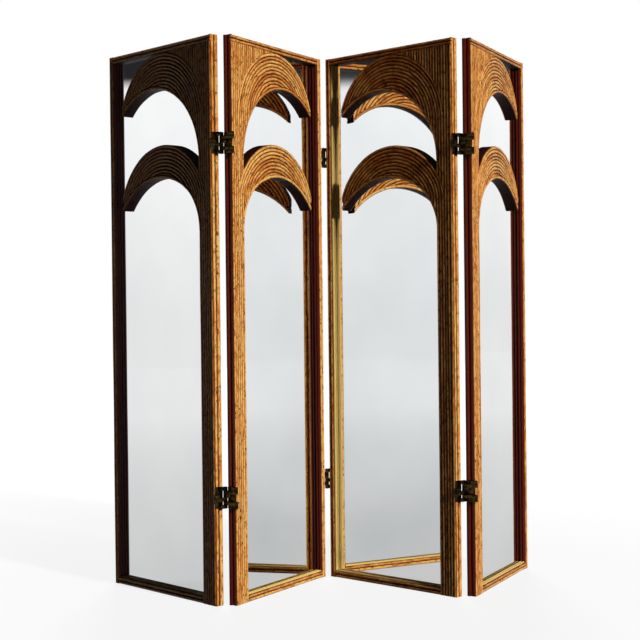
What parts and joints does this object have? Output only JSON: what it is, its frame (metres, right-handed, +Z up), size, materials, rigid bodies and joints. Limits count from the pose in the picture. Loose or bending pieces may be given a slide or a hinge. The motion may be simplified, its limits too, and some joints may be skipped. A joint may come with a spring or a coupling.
{
  "type": "folding_screen",
  "caption": "Free-standing folding room screen: hinged mirror panels in wooden frames faced with glossy split reed, each with reed-faced arches springing from a wide stile.",
  "frame": {"origin": "On the floor, under the middle of the part-folded screen's bounding box.", "axes": "+Z up; the reed and mirror faces look toward -Y, and panel 1 is at the -X end."},
  "size_m": [1.525, 0.691, 1.9],
  "materials": {
    "reed": "gloss",
    "frame_wood": "satin",
    "arch_board": "satin",
    "mirror_glass": "polished",
    "back_plywood": "satin",
    "hinge_brass": "aged",
    "pin_steel": "satin"
  },
  "bodies": {
    "panel_1": {"panel_1_wide_stile": "frame_wood", "panel_1_narrow_stile": "frame_wood", "panel_1_top_rail": "frame_wood", "panel_1_bottom_rail": "frame_wood", "panel_1_upper_arch_board": "arch_board", "panel_1_lower_arch_board": "arch_board", "panel_1_mirror": "mirror_glass", "panel_1_backing_board": "back_plywood", "panel_1_front_reeds": "reed", "panel_1_edge_reeds": "reed", "hinge_1_2_left_leaves": "hinge_brass", "hinge_1_2_middle_straps": "hinge_brass", "hinge_1_2_pins": "pin_steel"},
    "panel_2": {"panel_2_wide_stile": "frame_wood", "panel_2_narrow_stile": "frame_wood", "panel_2_top_rail": "frame_wood", "panel_2_bottom_rail": "frame_wood", "panel_2_upper_arch_board": "arch_board", "panel_2_lower_arch_board": "arch_board", "panel_2_mirror": "mirror_glass", "panel_2_backing_board": "back_plywood", "panel_2_front_reeds": "reed", "panel_2_edge_reeds": "reed", "hinge_1_2_right_leaves": "hinge_brass", "hinge_1_2_outer_straps": "hinge_brass", "hinge_2_3_left_leaves": "hinge_brass", "hinge_2_3_outer_straps": "hinge_brass"},
    "panel_3": {"panel_3_wide_stile": "frame_wood", "panel_3_narrow_stile": "frame_wood", "panel_3_top_rail": "frame_wood", "panel_3_bottom_rail": "frame_wood", "panel_3_upper_arch_board": "arch_board", "panel_3_lower_arch_board": "arch_board", "panel_3_mirror": "mirror_glass", "panel_3_backing_board": "back_plywood", "panel_3_front_reeds": "reed", "panel_3_edge_reeds": "reed", "hinge_2_3_right_leaves": "hinge_brass", "hinge_2_3_middle_straps": "hinge_brass", "hinge_2_3_pins": "pin_steel", "hinge_3_4_left_leaves": "hinge_brass", "hinge_3_4_middle_straps": "hinge_brass", "hinge_3_4_pins": "pin_steel"},
    "panel_4": {"panel_4_wide_stile": "frame_wood", "panel_4_narrow_stile": "frame_wood", "panel_4_top_rail": "frame_wood", "panel_4_bottom_rail": "frame_wood", "panel_4_upper_arch_board": "arch_board", "panel_4_lower_arch_board": "arch_board", "panel_4_mirror": "mirror_glass", "panel_4_backing_board": "back_plywood", "panel_4_front_reeds": "reed", "panel_4_edge_reeds": "reed", "hinge_3_4_right_leaves": "hinge_brass", "hinge_3_4_outer_straps": "hinge_brass"}
  },
  "joints": [
    {"name": "fold_1_2", "type": "hinge", "parent": "panel_2", "child": "panel_1", "pos_m": [-0.33256, -0.31058, 0], "axis": [0, 0, 1], "range_deg": [-71, 108.7]},
    {"name": "fold_2_3", "type": "hinge", "parent": "panel_2", "child": "panel_3", "pos_m": [0.00863, 0.20282, 0], "axis": [0, 0, 1], "range_deg": [-73.2, 105.3]},
    {"name": "fold_3_4", "type": "hinge", "parent": "panel_3", "child": "panel_4", "pos_m": [0.4732, -0.20235, 0], "axis": [0, 0, 1], "range_deg": [-110.1, 69.6]}
  ]
}
